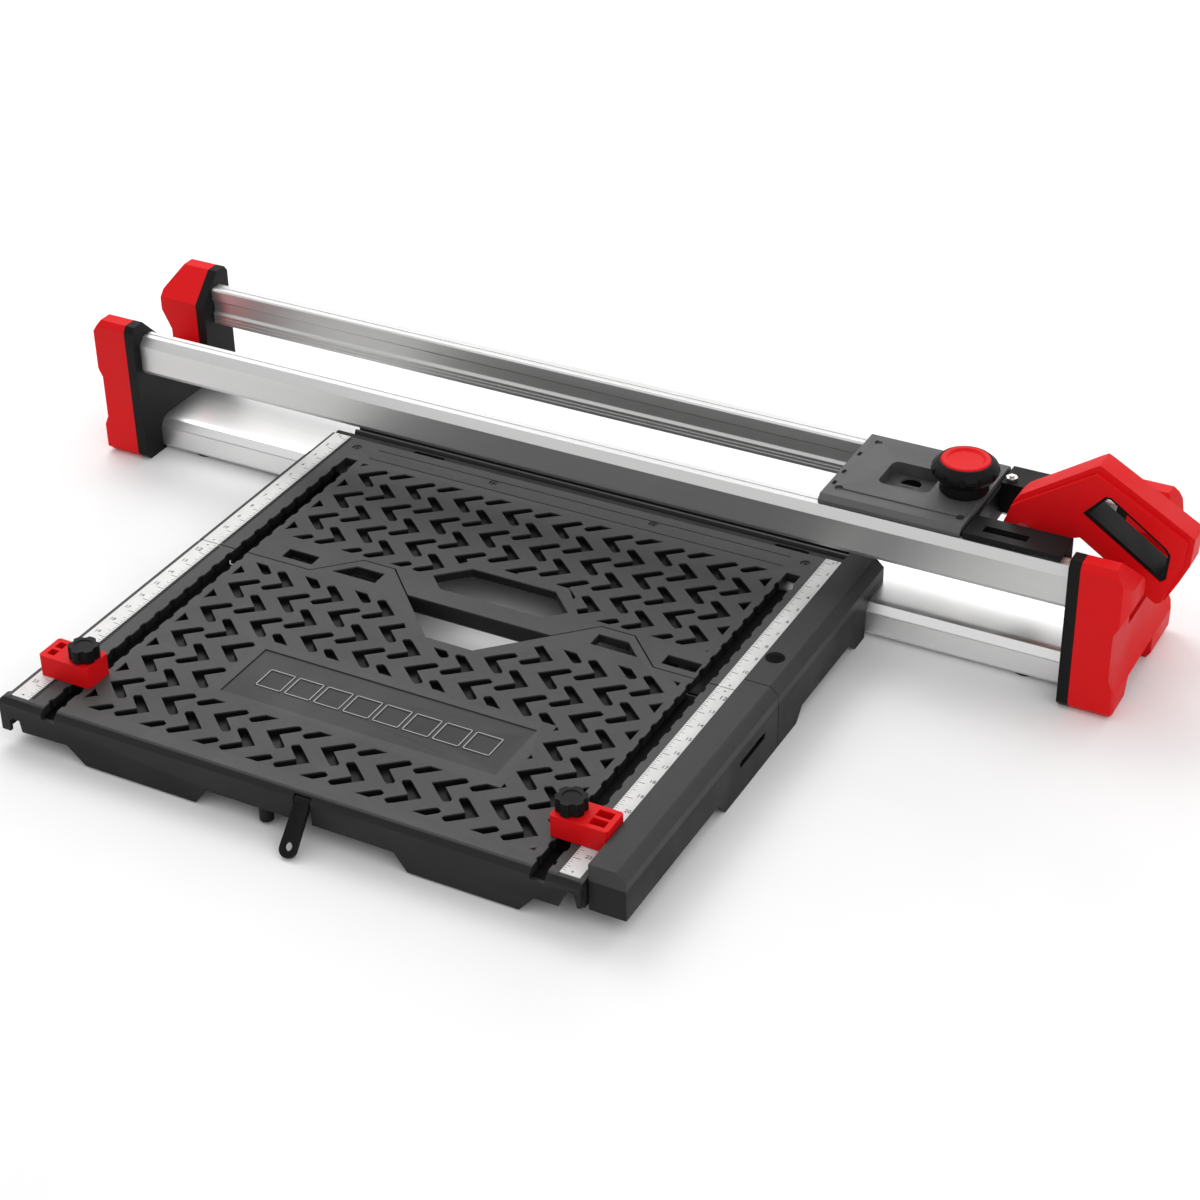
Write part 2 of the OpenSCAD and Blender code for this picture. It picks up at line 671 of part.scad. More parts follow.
// Clamp plate that grips the underside of the table round the slot
module stop_clamp(x) {
    color("gray") difference() {
        union() {
            block([x - 13, stop_y - 13, deck_top - deck_t - 5.3],
                [x + 13, stop_y + 13, deck_top - deck_t - 0.4]);
            block([x - 6.5, stop_y - 9, deck_top - deck_t - 0.5],
                [x + 6.5, stop_y + 9, deck_top - deck_t + 5]);
        }
        rod_z(20, deck_top, x, stop_y, stud_r + 0.06);
    }
}

module left_stop_clamp() { stop_clamp(slot_xl); }
module right_stop_clamp() { stop_clamp(slot_xr); }

module stop_stud(x) {
    color("silver") rod_z(deck_top - deck_t - 9, deck_top + stop_h + 6, x, stop_y, stud_r);
}

module left_stop_stud() { stop_stud(slot_xl); }
module right_stop_stud() { stop_stud(slot_xr); }

// Thumb knob with six lobes and a bright disc on top
module stop_knob(x) {
    z0 = deck_top + stop_h - 2.2;
    color([0.06, 0.06, 0.07]) translate([x, stop_y, 0]) difference() {
        union() {
            rod_z(z0, z0 + 6, 0, 0, 9);
            along_z(z0 + 4, z0 + 18) difference() {
                circle(15.5);
                for (i = [0:5]) rotate(i * 60) translate([17.5, 0]) circle(4.5);
            }
        }
        rod_z(z0 - 1, z0 + 8.3, 0, 0, stud_r + 0.01);
        rod_z(z0 + 17, z0 + 19, 0, 0, 9);
    }
}

module left_stop_knob() { stop_knob(slot_xl); }
module right_stop_knob() { stop_knob(slot_xr); }

// ---------- carriage ----------

// Chassis between the rails, with ledges over them and a fork at the right for the handle
module carriage_frame() {
    split = knob_x + 28;
    color([0.1, 0.1, 0.11]) difference() {
        union() {
            block([car_x0 + 4, -rail_in + 2, car_low], [split, rail_in - 2, car_top - 6]);
            for (s = [-1, 1]) {
                y0 = s > 0 ? arm_in : -rail_in + 2;
                block([split - 1, y0, car_low + 6], [car_x1, y0 + rail_in - 2 - arm_in, car_top - 2]);
                y1 = s > 0 ? rail_in - 3 : -car_edge;
                block([split - 1, y1, rail_top + 1.5], [car_x1, y1 + car_edge - rail_in + 3, car_top - 2]);
                y2 = s > 0 ? rail_in - 3 : 3.5 - car_edge;
                block([car_x0 + 4, y2, rail_top + 1.5], [split, y2 + car_edge - rail_in - 0.5, car_top - 6]);
            }
            rod_z(car_low - 4, car_low + 1, knob_x, 0, 18);
        }
        block([car_x0 + 20, -46, car_low - 1], [knob_x - 28, 54, car_top - 12]);
        rod_z(car_low - 6, car_top + 1, knob_x, 0, post_bore);
        rod_y(-rail_in, rail_in, pivot_x, pivot_z, pivot_r + 0.06);
        rod_z(car_top - 15, car_top, stud_x, stud_y, 3.02);
        translate([345, 0, car_low]) along_z(0, 60) rounded(-16, -28, 46, 27, 10);
        for (x = [car_x0 + 14, split - 12], y = [-52, 52]) rod_z(car_top - 20, car_top, x, y, 1.9);
        for (x = [car_x0 + 20, car_x1 - 34], s = [-1, 1])
            block([x, s > 0 ? rail_in - 4 : -rail_in - 1, car_low + 8],
                [x + 30, s > 0 ? rail_in + 1 : -rail_in + 4,
                car_low + 26]);
        block([462, -rail_in - 3, car_low], [508, -rail_in + 8, car_top]);
    }
}

// Top cover with the raised panel, clip hooks, sight pocket and spindle hole
module carriage_cover() {
    x1 = knob_x + 24;
    z0 = car_top - 5.7;
    color([0.3, 0.3, 0.31]) difference() {
        union() {
            along_x(car_x0, x1) polygon([[-car_edge, rail_top + 0.5], [-car_edge, car_top - 5],
                [6 - car_edge, car_top], [car_edge - 6, car_top], [car_edge, car_top - 5],
                [car_edge, rail_top + 0.5], [car_edge - 3, rail_top + 0.5], [car_edge - 3, z0],
                [3 - car_edge, z0],
                [3 - car_edge, rail_top + 0.5]]);
            block([car_x0, -rail_in + 2, car_low + 4], [car_x0 + 3.6, rail_in - 2, z0 + 1]);
            along_z(car_top - 1, car_top + 1.2) rounded(car_x0 + 8, -52, x1 - 4, 56, 4);
            // walls and floor of the sight pocket, dropped into the chassis opening
            along_z(car_top - 16, car_top + 1.2) difference() {
                translate([345, 0]) rounded(-15.6, -27.6, 45.6, 26.6, 9.6);
                translate([345, 0]) rounded(-13, -25, 43, 24, 8);
            }
            along_z(car_top - 16, car_top - 13.5) translate([345, 0]) rounded(-15.6, -27.6, 45.6, 26.6, 9.6);
        }
        along_z(car_top - 13.5, car_top + 5) translate([345, 0]) rounded(-13, -25, 43, 24, 8);
        rod_z(car_low, car_top + 3, 356, 11.5, 11.5);
        rod_z(car_low, car_top + 3, knob_x, 0, 12);
        for (y = [-44, -19, 22]) block([car_x0 + 3, y - 3, car_top - 3], [car_x0 + 7, y + 5, car_top + 2]);
        for (x = [car_x0 + 14, x1 - 8], y = [-52, 52]) {
            rod_z(z0 - 1, car_top + 2, x, y, 2.2);
            rod_z(car_top - 2.5, car_top + 2, x, y, 4.2);
        }
    }
}

module cover_screws() {
    color("dimgray") for (x = [car_x0 + 14, knob_x + 16], y = [-52, 52]) {
        rod_z(car_top - 18, car_top - 2.5, x, y, 1.85);
        rod_z(car_top - 2.5, car_top - 0.6, x, y, 3.8);
    }
}

// Low-friction pads on the inner faces and tops of the rails
module glide_pads() {
    color("ivory") for (x = [car_x0 + 20, car_x1 - 34], s = [-1, 1]) {
        block([x + 0.1, s > 0 ? rail_in - 3.9 : -rail_in + 0.3, car_low + 8.1],
            [x + 29.9, s > 0 ? rail_in - 0.3 : -rail_in + 3.9, car_low + 25.9]);
        block([x + 0.1, s > 0 ? rail_in + 1 : -rail_in - 10, rail_top + 0.3],
            [x + 29.9, s > 0 ? rail_in + 10 : -rail_in - 1, rail_top + 1.5]);
    }
}

module pressure_knob() {
    color([0.1, 0.1, 0.11]) translate([knob_x, 0, 0]) difference() {
        rotate_extrude() polygon([[0, car_top + 1.8], [24, car_top + 1.8], [25.5, car_top + 4],
            [24.5, car_top + 14],
            [knob_d / 2 - 2, car_top + 21], [knob_d / 2, car_top + 25], [knob_d / 2, car_top + 28],
            [knob_d / 2 - 2, car_top + 32], [27.5, car_top + 37], [0, car_top + 37]]);
        rod_z(car_top, car_top + 24, 0, 0, spindle_r + 0.01);
        rod_z(car_top + 33, car_top + 40, 0, 0, 26.05);
        for (i = [0:11]) rotate(i * 30 + 15) translate([knob_d / 2 + 5.5, 0, car_top + 19])
            cylinder(h = 14, r = 7);
    }
}

module pressure_knob_cap() {
    color("red") translate([knob_x, 0, 0]) rotate_extrude() polygon([[0, car_top + 33], [26, car_top + 33],
        [26, car_top + 36.5], [24.5, car_top + 38.5], [20, car_top + 38.5], [18, car_top + 36.5],
        [0, car_top + 36.5]]);
}

module pressure_spindle() {
    color("silver") union() {
        rod_z(car_low + 12, car_top + 24, knob_x, 0, spindle_r);
        rod_z(car_top - 4.5, car_top - 1.5, knob_x, 0, 8.5);
    }
}

// Post that slides in the chassis: threaded inside, forked below for the wheel
module wheel_post() {
    color("gray") translate([knob_x, 0, 0]) difference() {
        union() {
            rod_z(104, car_top - 13, 0, 0, post_r);
            rod_z(100, 104, 0, 0, 14);
            block([-9, -8, wheel_z - 6], [9, 8, 101]);
            rod_y(-8, 8, 0, wheel_z - 4, 6.5);
        }
        block([-16, -1.6, wheel_z - 16], [16, 1.6, wheel_z + wheel_r + 2]);
        rod_y(-10, 10, 0, wheel_z - 4, axle_r + 0.02);
        rod_z(112, car_top, 0, 0, spindle_r + 0.06);
    }
}

module wheel_axle() {
    color("silver") difference() {
        rod_y(-9, 9, knob_x, wheel_z - 4, axle_r);
        rod_y(-10, -8, knob_x, wheel_z - 4, 1);
    }
}

module scoring_wheel() {
    color("gold") translate([knob_x, 0, wheel_z - 4]) rotate([90, 0, 0]) difference() {
        rotate_extrude() polygon([[0, -wheel_t / 2], [wheel_r - 3, -wheel_t / 2], [wheel_r, 0],
            [wheel_r - 3, wheel_t / 2], [0, wheel_t / 2]]);
        cylinder(h = 10, r = axle_r + 0.06, center = true);
    }
}

// ---------- handle ----------

module handle_pivot_pin() {
    color("silver") union() {
        rod_y(-rail_in + 2.5, rail_in - 5, pivot_x, pivot_z, pivot_r);
        rod_y(rail_in - 7, rail_in - 2.5, pivot_x, pivot_z, 3);
    }
}

module cheek_stud() {
    color("gainsboro") union() {
        rod_z(car_top - 14, car_top + 4, stud_x, stud_y, 3);
        translate([stud_x, stud_y, car_top - 2]) along_z(0, 4) circle(6.5, $fn = 6);
    }
}

module pivot_spacers() {
    color("dimgray") for (s = [-1, 1]) difference() {
        rod_y(s > 0 ? handle_w / 2 + 0.4 : -arm_in + 0.4, s > 0 ? arm_in - 0.4 : -handle_w / 2 - 0.4, pivot_x,
            pivot_z, 9);
        rod_y(-rail_in, rail_in, pivot_x, pivot_z, pivot_r + 0.05);
    }
}

// Loop outline: arm from the pivot, bent at the apex into the grip, closed by a lower bar
module handle_outline() {
    polygon([[470, 156], [476, 176], [483, 185], apex - [5, 3], apex, apex + [6, -3], grip_end - [6, -4],
        grip_end, [661, 149], [651, 126], [640, 104], [632, 100], [549, 155], [506, 137], [478, 131],
        [469.5, 144]]);
}

module handle_opening() {
    polygon([[549, 183], [571, 208], [577, 208], [637, 166], [642, 159], [640, 131], [634, 126]]);
}

module push_handle() {
    color("red") difference() {
        union() {
            // the long edges of the grip and arm are cut back by the second outline
            intersection() {
                along_y(-handle_w / 2, handle_w / 2) difference() {
                    handle_outline();
                    handle_opening();
                }
                union() {
                    along_y(-handle_w / 2 + 5, handle_w / 2 - 5) handle_outline();
                    along_y(-handle_w / 2, handle_w / 2) polygon([[460, 120], [470, 168], [484, 179],
                        apex - [1, 8], grip_end - [6, 3], [655, 149], [645, 126], [636, 97], [560, 90]]);
                }
            }
            rod_y(-handle_w / 2 + 0.5, handle_w / 2 - 0.5, pivot_x, pivot_z, 22);
        }
        rod_y(-handle_w, handle_w, pivot_x, pivot_z, pivot_r + 0.06);
        block([pivot_x - 9, -8.05, pivot_z - 30], [pivot_x + 9, 8.05, pivot_z - 12]);
    }
}

// Dark soft liner round the inside of the loop
module handle_grip_insert() {
    color([0.1, 0.1, 0.1]) along_y(-handle_w / 2 + 1.5, handle_w / 2 - 1.5) difference() {
        handle_opening();
        polygon([[555, 184.5], [572.5, 204.5], [576, 204.5], [634, 164], [638.5, 157], [637, 135],
            [634, 131]]);
    }
}

// Pressing foot under the handle's pivot with a shallow V sole
module breaker_foot() {
    color("dimgray") union() {
        block([pivot_x - 9, -8, 92], [pivot_x + 9, 8, pivot_z - 12]);
        along_x(pivot_x - 16, pivot_x + 16) polygon([[-32, 82], [-32, 86], [-10, 94], [10, 94], [32, 86],
            [32, 82], [4, 85], [-4, 85]]);
    }
}

module breaker_pads() {
    color([0.12, 0.12, 0.12]) for (m = [0, 1]) mirror([0, m, 0])
        along_x(pivot_x - 14, pivot_x + 14) polygon([[-31, 81.9], [-31, 78], [-14, 79.5], [-14, 83.7]]);
}

in_frame() {
    base_extrusion();
    front_rail();
    rear_rail();
    left_bracket();
    right_bracket();
    left_end_cap();
    right_end_cap();
    bracket_bolts();
    base_feet();
    anvil_strip();
    rear_pad();
    rear_deck();
    grab_bar_grip();
    rear_left_scale();
    rear_right_scale();
    rear_fence();
    rear_deck_screws();
    guide_rods();
    front_deck();
    front_left_scale();
    front_right_scale();
    front_fence();
    name_panel();
    front_feet();
    lever_pin();
    support_lever();
    left_stop_block();
    left_stop_clamp();
    left_stop_stud();
    left_stop_knob();
    right_stop_block();
    right_stop_clamp();
    right_stop_stud();
    right_stop_knob();
    carriage_frame();
    carriage_cover();
    cover_screws();
    glide_pads();
    pressure_knob();
    pressure_knob_cap();
    pressure_spindle();
    wheel_post();
    wheel_axle();
    scoring_wheel();
    handle_pivot_pin();
    cheek_stud();
    pivot_spacers();
    push_handle();
    handle_grip_insert();
    breaker_foot();
    breaker_pads();
}
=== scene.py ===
import json
import math
import bpy
import bmesh
from mathutils import Matrix, Vector


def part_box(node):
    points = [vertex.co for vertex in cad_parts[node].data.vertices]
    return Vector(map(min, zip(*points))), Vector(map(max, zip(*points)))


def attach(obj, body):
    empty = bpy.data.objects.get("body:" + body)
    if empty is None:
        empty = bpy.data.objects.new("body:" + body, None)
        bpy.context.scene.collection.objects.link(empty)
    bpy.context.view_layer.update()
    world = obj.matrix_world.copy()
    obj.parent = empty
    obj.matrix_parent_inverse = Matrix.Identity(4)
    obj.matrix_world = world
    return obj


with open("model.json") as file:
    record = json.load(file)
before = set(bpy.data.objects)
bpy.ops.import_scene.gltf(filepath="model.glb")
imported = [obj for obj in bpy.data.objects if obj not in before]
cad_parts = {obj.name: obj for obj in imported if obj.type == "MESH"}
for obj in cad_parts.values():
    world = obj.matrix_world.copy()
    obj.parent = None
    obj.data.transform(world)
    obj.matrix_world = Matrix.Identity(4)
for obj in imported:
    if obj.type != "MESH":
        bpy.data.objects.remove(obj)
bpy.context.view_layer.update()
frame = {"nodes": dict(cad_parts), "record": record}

record = frame["record"]
scene = bpy.context.scene
nodes = frame["nodes"]


# ---------------------------------------------------------------- materials

BLOTCH_SCALE = 14
MID_GRAIN = 0.12
BLOTCH_SHARE = 0.6
NOISE_RANGE = (0.3, 0.7)
EDGE_RANGE = (0.515, 0.58)


def node_material(name, base, rough, metallic=0.0, grain=900.0, bump=0.12, bump_dist=0.0002,
                  stretch=(1, 1, 1), tone=0.10, wear=0.0, wear_color=(0.5, 0.5, 0.5), spec=0.5,
                  rough_var=0.10, painted_shade=None, painted_shade_z=0.0):
    """A procedural surface: fine grain in the bump, slow blotches in tone and roughness, and
    lighter worn edges. Below a given height the base colour turns to a darker painted shade colour, standing in
    for the shade on hole walls, skirts and faces under the top."""
    m = bpy.data.materials.new(name)
    m.use_nodes = True
    nt = m.node_tree
    nt.nodes.clear()
    out = nt.nodes.new("ShaderNodeOutputMaterial")
    bsdf = nt.nodes.new("ShaderNodeBsdfPrincipled")
    nt.links.new(bsdf.outputs[0], out.inputs[0])
    bsdf.inputs["Base Color"].default_value = (*base, 1)
    bsdf.inputs["Roughness"].default_value = rough
    bsdf.inputs["Metallic"].default_value = metallic
    bsdf.inputs["Specular IOR Level"].default_value = spec
    tc = nt.nodes.new("ShaderNodeTexCoord")
    mp = nt.nodes.new("ShaderNodeMapping")
    mp.inputs["Scale"].default_value = stretch
    nt.links.new(tc.outputs["Object"], mp.inputs["Vector"])

    def noise(scale, detail, source):
        n = nt.nodes.new("ShaderNodeTexNoise")
        n.inputs["Scale"].default_value = scale
        n.inputs["Detail"].default_value = detail
        nt.links.new(source, n.inputs["Vector"])
        return n

    fine = noise(grain, 3, mp.outputs[0])
    blotch = noise(BLOTCH_SCALE, 4, mp.outputs[0])
    mid = noise(grain * MID_GRAIN, 3, mp.outputs[0])

    def ramp(src, lo, hi):
        r = nt.nodes.new("ShaderNodeMapRange")
        r.inputs["From Min"].default_value = NOISE_RANGE[0]
        r.inputs["From Max"].default_value = NOISE_RANGE[1]
        r.inputs["To Min"].default_value = lo
        r.inputs["To Max"].default_value = hi
        nt.links.new(src, r.inputs["Value"])
        return r.outputs[0]

    tonal = nt.nodes.new("ShaderNodeMix")
    tonal.data_type = "RGBA"
    tonal.inputs["A"].default_value = (*[c * (1 - tone) for c in base], 1)
    tonal.inputs["B"].default_value = (*[min(1.0, c * (1 + tone)) for c in base], 1)
    add = nt.nodes.new("ShaderNodeMath")
    add.operation = "ADD"
    blotch_share = nt.nodes.new("ShaderNodeMath")
    blotch_share.operation = "MULTIPLY"
    blotch_share.inputs[1].default_value = BLOTCH_SHARE
    mid_share = nt.nodes.new("ShaderNodeMath")
    mid_share.operation = "MULTIPLY"
    mid_share.inputs[1].default_value = 1 - BLOTCH_SHARE
    nt.links.new(ramp(blotch.outputs[0], 0, 1), blotch_share.inputs[0])
    nt.links.new(ramp(mid.outputs[0], 0, 1), mid_share.inputs[0])
    nt.links.new(blotch_share.outputs[0], add.inputs[0])
    nt.links.new(mid_share.outputs[0], add.inputs[1])
    nt.links.new(add.outputs[0], tonal.inputs["Factor"])
    color = tonal.outputs["Result"]
    # Painted shade: below the given height the colour is mixed into a dark tone, standing in for shade on hole
    # walls, skirts and fence fronts
    if painted_shade:
        axes = nt.nodes.new("ShaderNodeSeparateXYZ")
        nt.links.new(tc.outputs["Object"], axes.inputs[0])
        painted_shade_mask = nt.nodes.new("ShaderNodeMapRange")
        painted_shade_mask.inputs["From Min"].default_value = painted_shade_z - 0.0008
        painted_shade_mask.inputs["From Max"].default_value = painted_shade_z + 0.0004
        nt.links.new(axes.outputs["Z"], painted_shade_mask.inputs["Value"])
        shade = nt.nodes.new("ShaderNodeMix")
        shade.data_type = "RGBA"
        shade.inputs["A"].default_value = (*painted_shade, 1)
        nt.links.new(painted_shade_mask.outputs[0], shade.inputs["Factor"])
        nt.links.new(color, shade.inputs["B"])
        color = shade.outputs["Result"]
    if wear > 0:
        geo = nt.nodes.new("ShaderNodeNewGeometry")
        edge = nt.nodes.new("ShaderNodeMapRange")
        edge.inputs["From Min"].default_value = EDGE_RANGE[0]
        edge.inputs["From Max"].default_value = EDGE_RANGE[1]
        edge.inputs["To Min"].default_value = 0.0
        edge.inputs["To Max"].default_value = wear
        nt.links.new(geo.outputs["Pointiness"], edge.inputs["Value"])
        worn = nt.nodes.new("ShaderNodeMix")
        worn.data_type = "RGBA"
        worn.inputs["B"].default_value = (*wear_color, 1)
        nt.links.new(edge.outputs[0], worn.inputs["Factor"])
        nt.links.new(color, worn.inputs["A"])
        color = worn.outputs["Result"]
    nt.links.new(color, bsdf.inputs["Base Color"])
    nt.links.new(ramp(blotch.outputs[0], max(0.03, rough - rough_var), min(1.0, rough + rough_var)),
                 bsdf.inputs["Roughness"])
    b = nt.nodes.new("ShaderNodeBump")
    b.inputs["Strength"].default_value = bump
    b.inputs["Distance"].default_value = bump_dist
    nt.links.new(fine.outputs[0], b.inputs["Height"])
    nt.links.new(b.outputs[0], bsdf.inputs["Normal"])
    return m


# Just under the table top, where its walls and skirt begin; below this height a painted shade colour is used
PAINTED_SHADE_TOP_Z = 0.0517

MAT = {
    "rail_aluminium": node_material("rail_aluminium", (0.64, 0.64, 0.635), 0.46, 1.0, grain=700, bump=0.25,
                                    bump_dist=0.0001, stretch=(0.03, 1, 1), tone=0.05, rough_var=0.05),
    "black_plastic": node_material("black_plastic", (0.0042, 0.0042, 0.0045), 0.50, grain=1400,
                                   bump=0.25, tone=0.18, wear=0.08, wear_color=(0.05, 0.05, 0.05), spec=0.12),
    # The deck's pocket walls and skirt below the top get a painted shade colour, standing in for the shade there
    "charcoal_plastic": node_material("charcoal_plastic", (0.056, 0.054, 0.054), 0.52, grain=1300, bump=0.40,
                                      tone=0.14, wear=0.10, wear_color=(0.13, 0.13, 0.13), spec=0.20,
                                      painted_shade=(0.0045, 0.0045, 0.005), painted_shade_z=PAINTED_SHADE_TOP_Z),
    # The fence's front face below the table top gets a painted shade colour, standing in for the shade on that
    # face
    "fence_black_painted_shade": node_material("fence_black_painted_shade", (0.036, 0.036, 0.037), 0.50, grain=1300, bump=0.35, tone=0.14,
                                 wear=0.10, wear_color=(0.10, 0.10, 0.10), spec=0.18,
                                 painted_shade=(0.005, 0.005, 0.0055), painted_shade_z=PAINTED_SHADE_TOP_Z),
    "base_aluminium": node_material("base_aluminium", (0.84, 0.84, 0.835), 0.40, 1.0, grain=700, bump=0.2,
                                    bump_dist=0.0001, stretch=(0.03, 1, 1), tone=0.04, rough_var=0.05),
    "cover_plastic": node_material("cover_plastic", (0.070, 0.070, 0.072), 0.50, grain=1300, bump=0.40,
                                   tone=0.12, wear=0.10, wear_color=(0.20, 0.20, 0.20), spec=0.30),
    "red_plastic": node_material("red_plastic", (0.66, 0.0035, 0.006), 0.50, grain=1500, bump=0.16, tone=0.05,
                                 wear=0.08, wear_color=(0.80, 0.05, 0.05), spec=0.12),
    "scale_metal": node_material("scale_metal", (0.66, 0.66, 0.65), 0.45, 0.0, grain=800, bump=0.10, tone=0.10),
    "zinc_steel": node_material("zinc_steel", (0.60, 0.59, 0.57), 0.30, 1.0, grain=900, bump=0.12, tone=0.08),
    "black_steel": node_material("black_steel", (0.012, 0.012, 0.012), 0.42, grain=1000, bump=0.20, tone=0.15,
                                 wear=0.12, wear_color=(0.12, 0.12, 0.12), spec=0.35),
    "rubber_black": node_material("rubber_black", (0.012, 0.012, 0.012), 0.72, grain=1100, bump=0.30, tone=0.15,
                                  spec=0.25),
    "glide_nylon": node_material("glide_nylon", (0.72, 0.70, 0.62), 0.45, grain=900, bump=0.15, tone=0.06),
    "brass_wheel": node_material("brass_wheel", (0.78, 0.58, 0.24), 0.25, 1.0, grain=1000, bump=0.12, tone=0.08),
    "print_black": node_material("print_black", (0.02, 0.02, 0.02), 0.55, grain=1500, bump=0.05, tone=0.2),
    "relief_grey": node_material("relief_grey", (0.33, 0.33, 0.34), 0.40, grain=1300, bump=0.2, tone=0.12),
    "floor_pale": node_material("floor_pale", (0.86, 0.86, 0.86), 0.8, grain=60, bump=0.02, tone=0.01),
}
SLOT = {s["node"]: s["material_slot"] for s in record["subparts"]}


def paint(obj, slot_name, mat=None):
    obj.data.materials.clear()
    obj.data.materials.append(MAT[mat or slot_name])


# Edge radius in metres per node
ROUND = {
    "front_deck": 0.0007, "rear_deck": 0.0007, "front_fence": 0.0011, "rear_fence": 0.0011,
    "left_end_cap": 0.0022, "right_end_cap": 0.0022, "left_bracket": 0.0012, "right_bracket": 0.0012,
    "push_handle": 0.0020, "carriage_cover": 0.0009, "carriage_frame": 0.0008, "left_stop_block": 0.0009,
    "right_stop_block": 0.0009, "base_extrusion": 0.0007, "front_rail": 0.0005, "rear_rail": 0.0005,
    "pressure_knob": 0.0010, "pressure_knob_cap": 0.0008, "left_stop_knob": 0.0008, "right_stop_knob": 0.0008,
    "support_lever": 0.0008, "breaker_foot": 0.0010, "breaker_pads": 0.0006, "wheel_post": 0.0005,
    "anvil_strip": 0.0004, "rear_pad": 0.0004, "front_feet": 0.0010, "base_feet": 0.0006, "name_panel": 0.0002,
    "grab_bar_grip": 0.0005, "left_stop_clamp": 0.0005, "right_stop_clamp": 0.0005, "glide_pads": 0.0003,
    "pivot_spacers": 0.0005, "bracket_bolts": 0.0004, "rear_deck_screws": 0.0003, "cover_screws": 0.0003,
    "cheek_stud": 0.0004, "handle_grip_insert": 0.0006, "guide_rods": 0.0005, "handle_pivot_pin": 0.0005,
}

SMALL_ROUND = 0.0002
WELD_GAP = 0.000002
FLAT_DEG = 0.8
SHARP_DEG = 24

# Nodes whose look differs a little from the rest of their slot; the fences carry a painted shade on their lower
# faces
LOOK = {"front_fence": "fence_black_painted_shade", "rear_fence": "fence_black_painted_shade", "base_extrusion": "base_aluminium"}

for name, obj in nodes.items():
    paint(obj, SLOT[name], LOOK.get(name))
    weld = obj.modifiers.new("weld", "WELD")
    weld.merge_threshold = WELD_GAP
    flat = obj.modifiers.new("flat", "DECIMATE")
    flat.decimate_type = "DISSOLVE"
    flat.angle_limit = math.radians(FLAT_DEG)
    bev = obj.modifiers.new("round", "BEVEL")
    bev.width = ROUND.get(name, SMALL_ROUND)
    bev.segments = 2
    bev.limit_method = "ANGLE"
    bev.angle_limit = math.radians(SHARP_DEG)
    bev.use_clamp_overlap = True
    bev.harden_normals = False
    for p in obj.data.polygons:
        p.use_smooth = True
    wn = obj.modifiers.new("normals", "WEIGHTED_NORMAL")
    wn.keep_sharp = True


# ---------------------------------------------------------------- small pieces

def add_piece(name, bm, body, slot_name, mat=None, width=0.0):
    me = bpy.data.meshes.new(name)
    bmesh.ops.recalc_face_normals(bm, faces=bm.faces)
    bm.to_mesh(me)
    bm.free()
    o = bpy.data.objects.new(name, me)
    scene.collection.objects.link(o)
    o.data.materials.append(MAT[mat or slot_name])
    if width > 0:
        b = o.modifiers.new("round", "BEVEL")
        b.width = width
        b.segments = 2
    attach(o, body)
    return o


def add_block(bm, lo, hi):
    lo, hi = Vector(lo), Vector(hi)
    m = Matrix.Translation((lo + hi) / 2) @ Matrix.Diagonal((*(hi - lo), 1))
    bmesh.ops.create_cube(bm, size=1, matrix=m)


INCH = 0.0254
EIGHTH = INCH / 8
TICK = {"inch": 0.0085, "half": 0.0055, "quarter": 0.0038, "eighth": 0.0024}
TICK_MARGIN = 0.0015
GLYPH_MARGIN = 0.006
cut_y = (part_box("anvil_strip")[0].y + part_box("anvil_strip")[1].y) / 2


def scale_marks(node, body, outer_left):
    """Ticks and inch numbers on one scale strip, counted from the cut line towards the front."""
    lo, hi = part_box(node)
    z = hi.z
    bm = bmesh.new()
    glyphs = []
    first = math.ceil((cut_y - hi.y) / EIGHTH)
    last = math.floor((cut_y - lo.y) / EIGHTH)
    for k in range(first, last + 1):
        y = cut_y - k * EIGHTH
        if y > hi.y - TICK_MARGIN or y < lo.y + TICK_MARGIN:
            continue
        if k % 8 == 0:
            length = TICK["inch"]
        elif k % 4 == 0:
            length = TICK["half"]
        elif k % 2 == 0:
            length = TICK["quarter"]
        else:
            length = TICK["eighth"]
        w = 0.00022 if k % 8 else 0.00034
        x0 = hi.x - 0.0004 - length if outer_left else lo.x + 0.0004
        add_block(bm, (x0, y - w, z - 0.00005), (x0 + length, y + w, z + 0.00006))
        if k % 8 == 0 and lo.y + GLYPH_MARGIN < y < hi.y - GLYPH_MARGIN:
            glyphs.append((k // 8, y))
    add_piece(node + "_ticks", bm, body, "black_plastic", "print_black")
    bm = bmesh.new()
    for value, y in glyphs:
        big = value % 12 == 0
        cu = bpy.data.curves.new("glyph", "FONT")
        cu.body = str(value)
        cu.size = 0.0088 if big else 0.0068
        cu.extrude = 0.00004
        cu.offset = 0.00010 if big else 0.00002
        cu.resolution_u = 3
        cu.align_x = "CENTER"
        cu.align_y = "CENTER"
        o = bpy.data.objects.new("glyph", cu)
        scene.collection.objects.link(o)
        bpy.context.view_layer.update()
        me = o.evaluated_get(bpy.context.evaluated_depsgraph_get()).to_mesh()
        me = me.copy()
        xc = lo.x + 0.0068 if outer_left else hi.x - 0.0068
        me.transform(Matrix.Translation((xc, y + 0.0058, z + 0.00005)))
        bm.from_mesh(me)
        bpy.data.objects.remove(o)
        bpy.data.curves.remove(cu)
    add_piece(node + "_numbers", bm, body, "black_plastic", "print_black")


scale_marks("front_left_scale", "front_table", True)
scale_marks("rear_left_scale", "frame", True)
scale_marks("front_right_scale", "front_table", False)
scale_marks("rear_right_scale", "frame", False)


RACK_PITCH = 0.0031
RACK_TOOTH = 0.0014
RACK_X = (0.0014, 0.0042)


